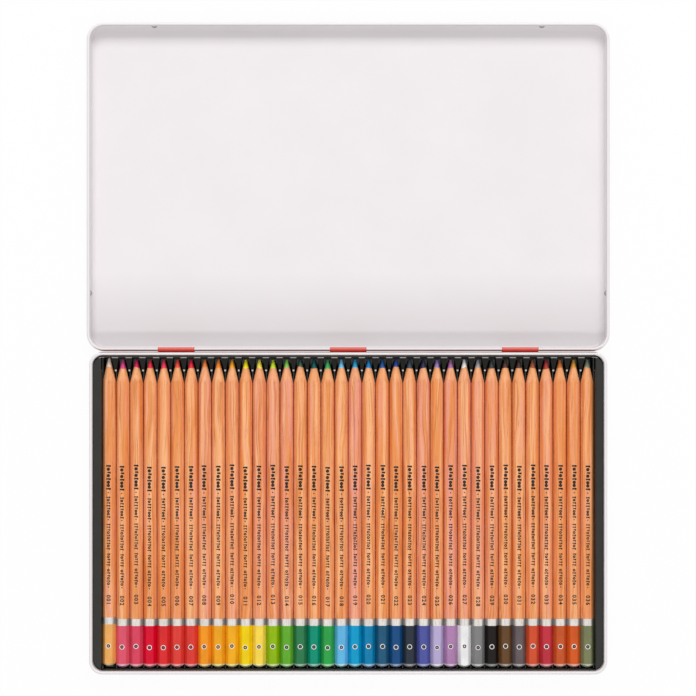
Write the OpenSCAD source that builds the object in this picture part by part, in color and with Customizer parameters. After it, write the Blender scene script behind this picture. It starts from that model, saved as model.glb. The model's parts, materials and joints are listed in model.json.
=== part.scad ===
// Flat hinged tin of coloured pencils, lying open on a table.
// +Z is up, the lid opens towards +Y and the pencils point towards the hinge.

/* [Pencils] */
// Number of pencils, side by side
pencil_count = 36; // [6:1:48]
// Overall length of a sharpened pencil
pencil_len = 174.4; // [120:0.2:190]
// Hexagon width from flat to flat
pencil_flats = 6.8; // [6:0.1:8]
// Rounding of the six long edges
pencil_edge_r = 1.0; // [0.3:0.1:1.6]
// Free gap between neighbouring pencils
pencil_gap = 0.18; // [0.1:0.02:1]
// Length of the sharpened cone, measured to the flats
cone_len = 12.4; // [10:0.2:22]
// Radius of the blunt point
point_r = 0.45; // [0.2:0.05:0.8]
// Radius of the coloured core
core_r = 1.75; // [1:0.05:1.9]
// Length of the lacquered end
dip_len = 24.6; // [10:0.1:40]
// Length of the metal foil band
band_len = 3.8; // [1:0.1:12]
// Thickness of the lacquer and of the foil
coat = 0.08; // [0.06:0.01:0.2]
// Radius of the domed end
dome_r = 4.4; // [4:0.1:8]

/* [Tray] */
// Thickness of the formed plastic sheet
tray_sheet = 0.4; // [0.3:0.05:0.8]
// Clearance between the tray and the tin's wall
tray_fit = 0.2; // [0.1:0.05:0.6]
// Corner radius of the tray's outline
tray_corner_r = 7.2; // [6:0.1:12]
// Free width beside the outermost pencils
side_gap = 0.25; // [0.15:0.05:2]
// Width of the flat shelf along each side
side_shelf = 4.45; // [2:0.05:20]
// Width of the shelf behind the points
point_shelf = 1.2; // [0.8:0.1:6]
// Width of the shelf behind the lacquered ends
end_shelf = 0.55; // [0.4:0.05:6]
// Free length between the points and the shelf
point_room = 0.95; // [0.3:0.05:4]
// Free length between the lacquered ends and the shelf
end_room = 0.2; // [0.1:0.05:4]
// Height of the groove floor above the tin's floor
groove_rise = 4.05; // [1:0.05:6]
// Drop of the shelf below the rim of the base
shelf_drop = 2.1; // [1.9:0.1:4]
// Depth of the ridge tops below the pencils' axis
ridge_drop = 1.1; // [0.8:0.1:3]
// Clearance between a ridge and the pencils' lower flats
ridge_fit = 0.25; // [0.1:0.05:0.6]
// Width of the teeth between the points, at the shelf
tooth_w = 4.0; // [2:0.1:5]
// Length of the teeth between the points
tooth_len = 7.8; // [4:0.1:12]
// Height of the tooth noses above the groove floor
tooth_nose_h = 5.3; // [3:0.1:8]
// Rounding of the tooth noses
tooth_nose_r = 0.45; // [0.2:0.05:0.8]

/* [Tin] */
// Thickness of the tinplate
sheet = 0.3; // [0.2:0.05:0.5]
// Radius of the rolled bead on both rims
bead_r = 0.9; // [0.7:0.05:1.3]
// Angle left open between the curled edge and the wall
curl_open = 60; // [50:5:90]
// Height of the base to the top of its bead
base_h = 15.1; // [14.5:0.1:24]
// Corner radius inside the base
base_corner_r = 5.7; // [3:0.1:10]
// Rounding where the floor turns into the wall
floor_r = 1.2; // [0.6:0.1:2]
// Clearance between the lid's wall and the bead of the base
lid_fit = 0.5; // [0.3:0.05:1]
// Air between the closed lid and the rim of the base
lid_air = 0.6; // [0.5:0.1:3]

/* [Hinge and catches] */
// Width of a hinge strap
strap_w = 20.7; // [8:0.1:30]
// Distance from the middle strap to the outer ones
strap_spacing = 97.3; // [60:0.1:110]
// Running clearance between a strap and the lid's bead
strap_fit = 0.05; // [0.03:0.01:0.1]
// Angle that a strap leaves open round the bead
strap_open = 80; // [60:5:120]
// Length of a strap's leg down the wall of the base
strap_leg = 4.2; // [2:0.1:4.8]
// Inner radius of the bend in a strap
strap_bend_r = 0.4; // [0.2:0.05:0.8]
// Height of the slots in the lid's wall
slot_h = 1.8; // [1.6:0.1:3]
// Clearance at each end of a slot
slot_fit = 0.4; // [0.2:0.05:1]
// Radius of the catch dimples on the wall
dimple_r = 1.5; // [1:0.1:2]
// Height of the catch dimples
dimple_h = 0.8; // [0.4:0.05:1]
// Distance of the dimples from the edge of the lid
dimple_drop = 3.2; // [2.8:0.1:4.5]
// Sideways place of the dimples in the front wall
dimple_front_x = 110; // [40:1:125]
// Distance of the side dimples from the hinge line
dimple_side_y = 32; // [15:1:80]

/* [Hidden] */
$fn = 48;
pencil_names = [for (i = [1 : pencil_count]) str("pencil_", i < 10 ? "0" : "", i)];
strap_names = ["hinge_strap_left", "hinge_strap_middle", "hinge_strap_right"];

// colours of the lacquered ends, from the left
dip_colours = [
    "#F5B26B", "#EE6478", "#E05568", "#E0143C", "#E63C3C", "#E84C46",
    "#E4483E", "#FFA032", "#F8AE32", "#FAB432", "#FFDC00", "#FFDC5A",
    "#96BE1E", "#6EB43C", "#3C8258", "#00967A", "#3CAA55", "#6EBEEB",
    "#00A5D2", "#0087B4", "#32607F", "#2A5585", "#3A3F48", "#5A5FA5",
    "#BEB2D7", "#B487B4", "#FFFFFF", "#878787", "#2D2828", "#6E5037",
    "#6E6464", "#D75A3C", "#C8414B", "#CD5F37", "#DC6432", "#828764"
];
tin_red = "#C8321E";
tin_white = "#F0ECEC";
tray_black = "#2A2A2C";
cedar = "#EC9E6D";
foil = "#D8D8DA";

eps = 0.01;
big = 1000;
// glue or lacquer film between pieces of one pencil
film = 0.02;
// air under the lacquer and foil of a pencil that lies in its groove
rest_gap = 0.05;
// air between the tray's skirt and the rounded foot of the tin's wall
stand_gap = 0.1;
// flats that round off each long edge of a pencil
edge_steps = 3;

// pencil section
apothem = pencil_flats / 2;
edge_at = (apothem - pencil_edge_r) / cos(30);
corner_r = edge_at + pencil_edge_r;
pitch = 2 * corner_r + pencil_gap;
cone_slope = (apothem - point_r) / cone_len;
shoulder_z = pencil_len - (corner_r + coat - point_r) / cone_slope;

// widths, all worked outwards from the row of pencils
well_w = pencil_count * pitch - pencil_gap + 2 * side_gap;
tray_w = well_w + 2 * side_shelf;
base_in_w = tray_w + 2 * tray_fit;
base_rim_w = base_in_w + 4 * bead_r;
lid_in_w = base_rim_w + 2 * lid_fit;

// depths, from the length of the pencils
well_d = pencil_len + point_room + end_room;
tray_d = well_d + point_shelf + end_shelf;
base_in_d = tray_d + 2 * tray_fit;
base_rim_d = base_in_d + 4 * bead_r;
lid_in_d = base_rim_d + 2 * lid_fit;
lid_rim_d = lid_in_d + 4 * bead_r;
lid_corner_r = base_corner_r + 2 * bead_r + lid_fit;

// heights
closed_h = base_h + lid_air + sheet;
hinge_z = closed_h / 2;
base_bead_z = base_h - bead_r;
groove_z = sheet + groove_rise;
pencil_z = groove_z + rest_gap + film + coat + apothem;
shelf_z = base_h - shelf_drop;
ridge_z = pencil_z - ridge_drop;
foot_reach = floor_r - tray_fit;
skirt_z = sheet + floor_r - sqrt(floor_r * floor_r - foot_reach * foot_reach) + stand_gap;

// places along Y: the open tin is centred on the origin
hinge_y = (base_rim_d + 2 * bead_r + lid_fit - lid_rim_d) / 2;
base_back_y = hinge_y - bead_r - lid_fit - 2 * bead_r;
base_y = base_back_y - base_in_d / 2;
lid_y = hinge_y + bead_r + lid_in_d / 2;
tray_back_y = base_back_y - tray_fit;
well_back_y = tray_back_y - point_shelf;
well_front_y = well_back_y - well_d;
pencil_end_y = well_front_y + end_room;
base_wall_y = base_back_y + sheet;

function pencil_x(i) = (i - (pencil_count + 1) / 2) * pitch;

// ---- outlines and sweeps ----

module rounded_rect(w, d, r) {
    square([w - 2 * r, d], center = true);
    square([w, d - 2 * r], center = true);
    for (x = [-1, 1], y = [-1, 1])
        translate([x * (w / 2 - r), y * (d / 2 - r)]) circle(r);
}

// a section swept round a rounded rectangle, its x running outwards from the edge
module swept_round(w, d, r) {
    for (side = [0 : 3]) {
        reach = side % 2 == 0 ? w : d;
        length = side % 2 == 0 ? d : w;
        rotate([0, 0, 90 * side]) {
            translate([reach / 2, 0, 0]) rotate([90, 0, 0])
                linear_extrude(length - 2 * r, center = true) children();
            translate([reach / 2 - r, length / 2 - r, 0])
                rotate_extrude(angle = 90) translate([r, 0]) children();
        }
    }
}

module ring(outer, inner) {
    difference() {
        circle(outer);
        circle(inner);
    }
}

// wedge of a plane between two directions less than 180 degrees apart
module wedge(from, to) {
    middle = (from + to) / 2;
    far = 4 * bead_r;
    polygon([[0, 0], far * [cos(from), sin(from)],
        far * [cos(middle), sin(middle)], far * [cos(to), sin(to)]]);
}

// ---- the tin ----

// section of a pan's wall: rounded foot, upright sheet and the bead curled outwards
module pan_section(bead_z) {
    translate([-floor_r, sheet + floor_r]) intersection() {
        ring(floor_r + sheet, floor_r);
        translate([0, -floor_r - sheet]) square(floor_r + sheet);
    }
    translate([0, sheet + floor_r]) square([sheet, bead_z - sheet - floor_r]);
    translate([bead_r, bead_z]) difference() {
        ring(bead_r, bead_r - sheet);
        wedge(180, 180 + curl_open);
    }
}

module pan(w, d, r, bead_z) {
    swept_round(w, d, r) pan_section(bead_z);
    linear_extrude(sheet) rounded_rect(w - 2 * floor_r, d - 2 * floor_r, r - floor_r);
}

module tin_base() {
    color(tin_red) translate([0, base_y, 0])
        pan(base_in_w, base_in_d, base_corner_r, base_bead_z);
}

// a catch dimple: pressed inwards along +Y from a wall whose inner face is the XZ plane
module dimple(swell) {
    ball_r = (dimple_r * dimple_r + dimple_h * dimple_h) / (2 * dimple_h);
    translate([0, dimple_h - ball_r, 0]) sphere(ball_r - (swell ? 0 : sheet));
}

module dimple_bump() {
    intersection() {
        dimple(true);
        translate([-2 * dimple_r, -sheet / 2, -2 * dimple_r]) cube(4 * dimple_r);
    }
}

// the four catches: two in the front wall and one in each side wall
module at_catches() {
    z = hinge_z - dimple_drop;
    for (x = [-1, 1]) {
        translate([x * dimple_front_x, lid_y + lid_in_d / 2, z]) rotate([0, 0, 180]) children();
        translate([x * lid_in_w / 2, hinge_y + dimple_side_y, z]) rotate([0, 0, x * 90]) children();
    }
}

module tin_lid() {
    color(tin_white) difference() {
        union() {
            translate([0, lid_y, 0]) pan(lid_in_w, lid_in_d, lid_corner_r, hinge_z);
            at_catches() dimple_bump();
        }
        at_catches() dimple(false);
        for (place = [-1 : 1])
            translate([place * strap_spacing - strap_w / 2 - slot_fit,
                hinge_y + bead_r - sheet - eps, hinge_z - slot_h])
                cube([strap_w + 2 * slot_fit, sheet + 2 * eps, slot_h]);
    }
}

// side view of a strap, with the hinge axis at the origin and the base towards -X
module strap_section() {
    eye_in = bead_r + strap_fit;
    eye_out = eye_in + sheet;
    leg_x = base_wall_y - hinge_y;
    bend_x = leg_x + sheet + strap_bend_r;
    bend_y = -eye_out - strap_bend_r;
    difference() {
        ring(eye_out, eye_in);
        wedge(270 - strap_open, 270);
    }
    translate([bend_x, -eye_out]) square([-bend_x, sheet]);
    translate([bend_x, bend_y]) intersection() {
        ring(strap_bend_r + sheet, strap_bend_r);
        translate([-strap_bend_r - sheet, 0]) square(strap_bend_r + sheet);
    }
    translate([leg_x, bend_y - strap_leg]) square([sheet, strap_leg]);
}

module hinge_strap(place) {
    color(tin_red) translate([place * strap_spacing - strap_w / 2, hinge_y, hinge_z])
        rotate([90, 0, 90]) linear_extrude(strap_w) strap_section();
}

// ---- the tray ----

// top line of the grooved floor over one pitch, as [x, z] pairs from its left end
function groove_points(i) =
    let (
        foot = pitch / 2 - half_gap(apothem) + ridge_fit,
        top = pitch / 2 - half_gap(ridge_drop) + ridge_fit,
        x = pencil_x(i)
    )
    [[x - top, ridge_z], [x - foot, groove_z], [x + foot, groove_z], [x + top, ridge_z]];

// half the gap between two pencils at a depth below their axis
function half_gap(depth) = pitch / 2 - (apothem * 2 / sqrt(3) - depth / sqrt(3));

module groove_floor() {
    top = concat(
        [[-well_w / 2 - tray_sheet, ridge_z]],
        [for (i = [1 : pencil_count]) each groove_points(i)],
        [[well_w / 2 + tray_sheet, ridge_z]]);
    last = len(top) - 1;
    under = [for (k = [last : -1 : 0]) top[k] - [0, 2 * tray_sheet]];
    translate([0, well_back_y + tray_sheet, 0]) rotate([90, 0, 0])
        linear_extrude(well_d + 2 * tray_sheet) polygon(concat(top, under));
}

// plan of a tooth, its root on the X axis and its rounded nose towards -Y
module tooth_plan() {
    nose_y = tooth_nose_r - tooth_len;
    polygon([[-tooth_w / 2, 0], [-tooth_nose_r, nose_y], [tooth_nose_r, nose_y], [tooth_w / 2, 0]]);
    translate([0, nose_y]) circle(tooth_nose_r);
}

// plan of the hollow under a tooth
module tooth_hollow_plan() {
    half = tooth_w / 2 - 1.2 * tray_sheet;
    length = (tooth_len - tooth_nose_r) * half / (tooth_w / 2);
    polygon([[-half, 0], [0, -length], [half, 0]]);
}

// a tooth under its sloping top, which is lowered for the hollow
module tooth_form(lower) {
    bottom = groove_z - 3 * tray_sheet;
    intersection() {
        translate([0, 0, bottom]) linear_extrude(shelf_z - bottom) children();
        rotate([90, 0, -90]) linear_extrude(2 * tooth_w, center = true)
            polygon([[0, bottom], [0, shelf_z - lower],
                [tooth_len, groove_z + tooth_nose_h - lower], [tooth_len, bottom]]);
    }
}

module at_teeth() {
    for (i = [1 : pencil_count - 1])
        translate([pencil_x(i) + pitch / 2, well_back_y, 0]) children();
}

// the shelf on its skirt, which stands in the rounded foot of the tin's wall
module tray_rim() {
    difference() {
        translate([0, tray_back_y - tray_d / 2, skirt_z]) difference() {
            linear_extrude(shelf_z - skirt_z) rounded_rect(tray_w, tray_d, tray_corner_r);
            translate([0, 0, -eps]) linear_extrude(shelf_z - skirt_z - tray_sheet + eps)
                rounded_rect(tray_w - 2 * tray_sheet, tray_d - 2 * tray_sheet,
                    tray_corner_r - tray_sheet);
        }
        translate([-well_w / 2, well_front_y, groove_z]) cube([well_w, well_d, big]);
    }
}

// upright walls round the pencils
module well_walls() {
    low = ridge_z - tray_sheet;
    translate([0, well_front_y + well_d / 2, low]) linear_extrude(shelf_z - low) difference() {
        square([well_w + 2 * tray_sheet, well_d + 2 * tray_sheet], center = true);
        square([well_w, well_d], center = true);
    }
}

module pencil_tray() {
    color(tray_black) difference() {
        union() {
            tray_rim();
            well_walls();
            groove_floor();
            at_teeth() tooth_form(0) tooth_plan();
        }
        at_teeth() tooth_form(1.5 * tray_sheet) tooth_hollow_plan();
    }
}

// ---- the pencils ----

module rounded_hexagon(grow) {
    r = pencil_edge_r + grow;
    polygon([for (k = [0 : 5]) for (turn = [-30 : 60 / edge_steps : 30])
        edge_at * [cos(60 * k), sin(60 * k)] + r * [cos(60 * k + turn), sin(60 * k + turn)]]);
}

// half outline of the turned shape: domed end at the bottom, sharpened point at the top
module turned_half(grow) {
    outer = corner_r + grow + eps;
    intersection() {
        translate([0, dome_r]) circle(dome_r + grow);
        translate([0, -grow]) square([outer, dome_r + grow]);
    }
    polygon([[0, dome_r], [outer, dome_r], [outer, shoulder_z], [point_r, pencil_len], [0, pencil_len]]);
}

// the pencil's outer shape, upright with its point at the top
module pencil_blank(grow) {
    intersection() {
        translate([0, 0, -grow]) linear_extrude(pencil_len + grow) rounded_hexagon(grow);
        rotate_extrude() turned_half(grow);
    }
}

module below(z) {
    translate([-pitch, -pitch, -pitch]) cube([2 * pitch, 2 * pitch, z + pitch]);
}

module pencil(i) {
    translate([pencil_x(i), pencil_end_y, pencil_z]) rotate([-90, 0, 0]) {
        color(cedar) difference() {
            pencil_blank(0);
            translate([0, 0, -eps]) cylinder(h = pencil_len, r = core_r);
        }
        color(dip_colours[(i - 1) % len(dip_colours)]) {
            intersection() {
                cylinder(h = pencil_len, r = core_r - film);
                pencil_blank(0);
            }
            intersection() {
                difference() {
                    pencil_blank(film + coat);
                    pencil_blank(film);
                }
                below(dip_len);
            }
        }
        color(foil) translate([0, 0, dip_len + film]) linear_extrude(band_len) difference() {
            rounded_hexagon(film + coat);
            rounded_hexagon(film);
        }
    }
}

tin_base();
tin_lid();
pencil_tray();
for (k = [0 : 2]) hinge_strap(k - 1);
for (i = [1 : pencil_count]) pencil(i);
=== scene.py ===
"""A flat hinged tin of coloured pencils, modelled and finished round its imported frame."""

import json
import math
import random

import bmesh
import bpy
from bpy.props import FloatProperty, FloatVectorProperty, IntProperty, PointerProperty
from mathutils import Matrix, Vector

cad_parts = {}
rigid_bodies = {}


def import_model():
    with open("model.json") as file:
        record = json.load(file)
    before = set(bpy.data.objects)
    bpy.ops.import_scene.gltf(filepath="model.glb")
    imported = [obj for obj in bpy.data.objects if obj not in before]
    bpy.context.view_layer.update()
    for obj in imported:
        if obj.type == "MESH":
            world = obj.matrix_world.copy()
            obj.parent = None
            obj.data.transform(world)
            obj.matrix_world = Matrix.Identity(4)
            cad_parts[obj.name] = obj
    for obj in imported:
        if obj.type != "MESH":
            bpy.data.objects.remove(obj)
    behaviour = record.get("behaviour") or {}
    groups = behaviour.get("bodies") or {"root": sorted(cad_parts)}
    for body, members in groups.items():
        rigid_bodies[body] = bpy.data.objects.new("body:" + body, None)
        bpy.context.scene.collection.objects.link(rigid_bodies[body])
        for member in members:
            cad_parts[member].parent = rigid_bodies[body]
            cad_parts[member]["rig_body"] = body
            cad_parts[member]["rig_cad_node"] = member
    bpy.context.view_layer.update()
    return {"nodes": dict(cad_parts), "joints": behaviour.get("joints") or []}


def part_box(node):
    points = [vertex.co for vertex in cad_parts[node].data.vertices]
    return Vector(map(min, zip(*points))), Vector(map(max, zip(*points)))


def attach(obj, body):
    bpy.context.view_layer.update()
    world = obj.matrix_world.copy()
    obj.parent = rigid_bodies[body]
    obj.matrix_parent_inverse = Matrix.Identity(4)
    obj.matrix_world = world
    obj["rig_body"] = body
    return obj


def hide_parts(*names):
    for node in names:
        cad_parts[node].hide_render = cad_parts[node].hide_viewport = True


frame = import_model()

bl_info = {
    "name": "Coloured pencil tin",
    "version": (1, 0, 0),
    "blender": (4, 5, 0),
    "location": "View3D > Sidebar > Pencil tin",
    "description": "Builds the tin, its tray, its pencils and the stage they lie on",
    "category": "Add Mesh",
}

MM = 0.001
HINGE = Vector(next(j for j in frame["joints"] if j["name"] == "lid_hinge")["pos_m"])
SEAM_Y = HINGE.y - 1.15 * MM  # middle of the gap between the rims of the two pans
PENCILS = sorted(n for n in frame["nodes"] if n.startswith("pencil_") and n[7:].isdigit())
STRAPS = sorted(n for n in frame["nodes"] if n.startswith("hinge_strap"))

# lacquer of the dipped end and colour of the core, pencil by pencil from the left
SHADES = [
    ("#F7B468", "#FFE2D0"), ("#EC6076", "#C8407E"), ("#E04E66", "#C41E50"), ("#E0123A", "#D02A3C"),
    ("#E4383A", "#DC3850"), ("#E84A42", "#E84E3C"), ("#E4463E", "#D82438"), ("#FFA02E", "#F5843A"),
    ("#F8AC2E", "#EE8630"), ("#FAB42C", "#F2A028"), ("#FFDC00", "#FFE818"), ("#FFDE58", "#FCEC50"),
    ("#96C01C", "#B4C828"), ("#6AB43A", "#78BE50"), ("#3A8256", "#3C5A4C"), ("#009678", "#14504E"),
    ("#3AAA52", "#3C9A5A"), ("#6ABEEC", "#64B4DC"), ("#00A4D4", "#2496C8"), ("#0086B6", "#1E78B4"),
    ("#306080", "#22508C"), ("#285488", "#2C4690"), ("#383E48", "#3A4450"), ("#585EA6", "#32304E"),
    ("#BEB0D8", "#8E78B4"), ("#B486B4", "#9E6496"), ("#F8F8F8", "#F4F2EE"), ("#868686", "#96969A"),
    ("#2C2828", "#3A3A3C"), ("#6E5036", "#4E342C"), ("#6E6264", "#46302C"), ("#D8583A", "#8C4C30"),
    ("#C83E4A", "#9C3230"), ("#CE5E36", "#B4642C"), ("#DC6230", "#C6862E"), ("#828662", "#6E7A68"),
]


# ---- sizes and colours a user would change ----


class TinSizes(bpy.types.PropertyGroup):
    """Sizes of the two pans"""

    sheet: FloatProperty(
        name="Sheet", description="Thickness of the tinplate", default=0.3 * MM, unit="LENGTH")
    bead: FloatProperty(
        name="Bead radius", description="Radius of the rolled rim", default=0.9 * MM, unit="LENGTH")
    curl_open: FloatProperty(
        name="Curl gap", description="Angle left open where the rolled edge meets the wall",
        default=math.radians(60), subtype="ANGLE")
    foot: FloatProperty(
        name="Foot radius", description="Rounding between floor and wall", default=1.2 * MM, unit="LENGTH")
    base_corner: FloatProperty(
        name="Base corner", description="Corner radius inside the base", default=5.7 * MM, unit="LENGTH")
    lid_corner: FloatProperty(
        name="Lid corner", description="Corner radius inside the lid", default=8.0 * MM, unit="LENGTH")
    slot_width: FloatProperty(
        name="Slot width", description="Width of a hinge slot", default=21.5 * MM, unit="LENGTH")
    slot_height: FloatProperty(
        name="Slot height", description="Height of a hinge slot", default=1.8 * MM, unit="LENGTH")
    dimple_radius: FloatProperty(
        name="Dimple radius", description="Radius of a catch dimple", default=1.5 * MM, unit="LENGTH")
    dimple_height: FloatProperty(
        name="Dimple height", description="How far a dimple stands in", default=0.8 * MM, unit="LENGTH")
    dimple_drop: FloatProperty(
        name="Dimple drop", description="Distance of the dimples from the rim's bead",
        default=3.2 * MM, unit="LENGTH")
    dimple_front: FloatProperty(
        name="Front dimples", description="Sideways place of the front dimples",
        default=110 * MM, unit="LENGTH")
    dimple_side: FloatProperty(
        name="Side dimples", description="Distance of the side dimples from the hinge line",
        default=32 * MM, unit="LENGTH")


class TraySizes(bpy.types.PropertyGroup):
    """Sizes of the tray's finish"""

    edge: FloatProperty(
        name="Edge rounding", description="Radius that forming leaves on the tray's edges",
        default=0.3 * MM, unit="LENGTH")
    crest: FloatProperty(
        name="Crest rounding", description="Rounding where a tooth's top begins to slope",
        default=1.0 * MM, unit="LENGTH")
    tooth_width: FloatProperty(
        name="Tooth width", description="Width of a tooth at its root", default=4.0 * MM, unit="LENGTH")
    tooth_depth: FloatProperty(
        name="Tooth depth", description="How far the tooth roots may lie from the tray's hinge edge",
        default=3.0 * MM, unit="LENGTH")
    root_inset: FloatProperty(
        name="Root inset", description="Distance of the tooth roots from the tray's hinge edge",
        default=1.2 * MM, unit="LENGTH")
    nose_inset: FloatProperty(
        name="Nose inset", description="Distance of the tooth noses from the tray's hinge edge",
        default=8.5 * MM, unit="LENGTH")
    nose_drop: FloatProperty(
        name="Nose drop", description="How far the tooth noses lie under the tray's top",
        default=3.35 * MM, unit="LENGTH")
    teeth_reach: FloatProperty(
        name="Teeth reach", description="How far the row of teeth goes to either side",
        default=134 * MM, unit="LENGTH")
    well_reach: FloatProperty(
        name="Well reach", description="How far the pencils' well goes to either side",
        default=138 * MM, unit="LENGTH")


class PencilSizes(bpy.types.PropertyGroup):
    """Sizes of one pencil"""

    coat: FloatProperty(
        name="Coat", description="Thickness of lacquer and foil over the wood", default=0.1 * MM,
        unit="LENGTH")
    edge: FloatProperty(
        name="Edge rounding", description="Rounding of the six long edges", default=1.0 * MM, unit="LENGTH")
    dome: FloatProperty(
        name="Dome radius", description="Radius of the domed end", default=4.4 * MM, unit="LENGTH")
    dip: FloatProperty(
        name="Dip length", description="Length of the lacquered end", default=24.0 * MM, unit="LENGTH")
    band: FloatProperty(
        name="Band length", description="Length of the foil band", default=3.9 * MM, unit="LENGTH")
    cone: FloatProperty(
        name="Cone length", description="Length of the sharpened cone", default=12.4 * MM, unit="LENGTH")
    point: FloatProperty(
        name="Point radius", description="Radius of the blunt point", default=0.62 * MM, unit="LENGTH")
    bare_core: FloatProperty(
        name="Bare core", description="Length of core that the cone lays bare", default=5.0 * MM,
        unit="LENGTH")
    wander: FloatProperty(
        name="Wander", description="How far the edge of the wood wanders on the cone",
        default=0.5 * MM, unit="LENGTH")
    ring_place: FloatProperty(
        name="Ring place", description="Distance of the printed ring from the domed end",
        default=12.2 * MM, unit="LENGTH")
    number_place: FloatProperty(
        name="Number place", description="Distance of the number from the domed end",
        default=38.4 * MM, unit="LENGTH")
    number_size: FloatProperty(
        name="Number size", description="Size of the number's figures", default=3.1 * MM, unit="LENGTH")
    play: FloatProperty(
        name="Play", description="How far a pencil may lie from its place", default=0.12 * MM, unit="LENGTH")
    first_forward: FloatProperty(
        name="First pencil forward", description="How far the first pencil is pushed towards the hinge",
        default=0.85 * MM, unit="LENGTH")
    seed: IntProperty(name="Seed", description="Start of the random variation", default=7)


class TinColours(bpy.types.PropertyGroup):
    """Colours of the tin and the wood"""

    red: FloatVectorProperty(
        name="Red lacquer", description="Outside of the tin", size=3, subtype="COLOR",
        default=(0.60, 0.030, 0.016))
    white: FloatVectorProperty(
        name="White lacquer", description="Inside of the tin", size=3, subtype="COLOR",
        default=(0.892, 0.850, 0.864))
    plastic: FloatVectorProperty(
        name="Tray plastic", description="Black plastic of the tray", size=3, subtype="COLOR",
        default=(0.010, 0.0098, 0.0075))
    cedar: FloatVectorProperty(
        name="Cedar", description="Wood of the casings", size=3, subtype="COLOR",
        default=(0.89, 0.352, 0.126))
    strap: FloatVectorProperty(
        name="Strap lacquer", description="Hinge straps", size=3, subtype="COLOR",
        default=(0.80, 0.125, 0.095))
    ink: FloatVectorProperty(
        name="Ink", description="Print on the casings", size=3, subtype="COLOR",
        default=(0.012, 0.005, 0.003))


class StageSizes(bpy.types.PropertyGroup):
    """Camera and light"""

    camera_height: FloatProperty(
        name="Camera height", description="Height of the camera over the table", default=0.95,
        unit="LENGTH")
    view_width: FloatProperty(
        name="View width", description="Width that the picture shows at the pencils' height",
        default=0.3939, unit="LENGTH")
    sky: FloatProperty(name="Sky", description="Strength of the even light from all round", default=0.52)
    far_light: FloatProperty(
        name="Far light", description="Power of the light behind the lid", default=27.0, unit="POWER")
    near_light: FloatProperty(
        name="Near light", description="Power of the narrow light in front", default=10.5, unit="POWER")
    table_glow: FloatProperty(
        name="Table glow", description="Share of plain white in the table as the camera sees it",
        default=0.955, subtype="FACTOR")


class TinSettings(bpy.types.PropertyGroup):
    """All settings of the tin"""

    tin: PointerProperty(type=TinSizes)
    tray: PointerProperty(type=TraySizes)
    pencil: PointerProperty(type=PencilSizes)
    colours: PointerProperty(type=TinColours)
    stage: PointerProperty(type=StageSizes)


# ---- small helpers ----


def deselect_all():
    bpy.ops.object.select_all(action="DESELECT")


def make_active(obj):
    deselect_all()
    obj.select_set(True)
    bpy.context.view_layer.objects.active = obj


def apply_place(obj):
    make_active(obj)
    bpy.ops.object.transform_apply(location=True, rotation=True, scale=True)


def apply_modifier(obj, kind, name, **settings):
    make_active(obj)
    modifier = obj.modifiers.new(name, kind)
    for key, value in settings.items():
        setattr(modifier, key, value)
    bpy.ops.object.modifier_apply(modifier=modifier.name)


def combine(obj, other, operation):
    """Cuts, joins or intersects obj with other, which is used up."""
    apply_modifier(obj, "BOOLEAN", operation.lower(), object=other, operation=operation, solver="EXACT")
    bpy.data.objects.remove(other)


def select_in_edit(obj, edges=None, faces=None):
    """Opens edit mode with only the edges or faces selected that the test picks."""
    make_active(obj)
    bpy.ops.object.mode_set(mode="EDIT")
    bpy.ops.mesh.select_mode(type="EDGE" if edges else "FACE")
    bpy.ops.mesh.select_all(action="DESELECT")
    mesh = bmesh.from_edit_mesh(obj.data)
    for item in mesh.edges if edges else mesh.faces:
        item.select_set((edges or faces)(item))
    mesh.select_flush_mode()
    bmesh.update_edit_mesh(obj.data)


def leave_edit():
    bpy.ops.object.mode_set(mode="OBJECT")


def clean(obj, distance=1e-6):
    """Merges doubles and turns every face outwards."""
    make_active(obj)
    bpy.ops.object.mode_set(mode="EDIT")
    bpy.ops.mesh.select_all(action="SELECT")
    bpy.ops.mesh.remove_doubles(threshold=distance)
    bpy.ops.mesh.normals_make_consistent(inside=False)
    leave_edit()


def smooth(obj, degrees=35):
    make_active(obj)
    bpy.ops.object.shade_smooth_by_angle(angle=math.radians(degrees))


def line_object(name, points, closed=False):
    """A bare line through the points."""
    mesh = bpy.data.meshes.new(name)
    count = len(points)
    edges = [(k, (k + 1) % count) for k in range(count if closed else count - 1)]
    mesh.from_pydata(points, edges, [])
    obj = bpy.data.objects.new(name, mesh)
    bpy.context.scene.collection.objects.link(obj)
    return obj


def arc(centre, radius, start, end, steps):
    """Points of an arc, its angles in degrees."""
    angles = [math.radians(start + (end - start) * k / steps) for k in range(steps + 1)]
    return [(centre[0] + radius * math.cos(a), centre[1] + radius * math.sin(a)) for a in angles]


def turned(name, outline, steps):
    """A solid turned about the Y axis from (radius, place) points that begin and end on the axis."""
    obj = line_object(name, [(r, y, 0) for r, y in outline])
    apply_modifier(obj, "SCREW", "turn", axis="Y", steps=steps, render_steps=steps)
    clean(obj)
    return obj


def copy_of(obj, name):
    twin = obj.copy()
    twin.data = obj.data.copy()
    twin.name = name
    twin.data.name = name
    bpy.context.scene.collection.objects.link(twin)
    return twin


def move_mesh(obj, offset):
    obj.data.transform(Matrix.Translation(offset))
    obj.data.update()


def stand_in(obj, body, *nodes, slot=None):
    """Lets the piece ride on a body, and stand for CAD nodes if any are given."""
    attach(obj, body)
    if nodes:
        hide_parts(*nodes)


def linear(code):
    """Linear colour from a #RRGGBB code."""
    parts = [int(code[k:k + 2], 16) / 255 for k in (1, 3, 5)]
    return [p / 12.92 if p <= 0.04045 else ((p + 0.055) / 1.055) ** 2.4 for p in parts]


# ---- materials ----


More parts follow.
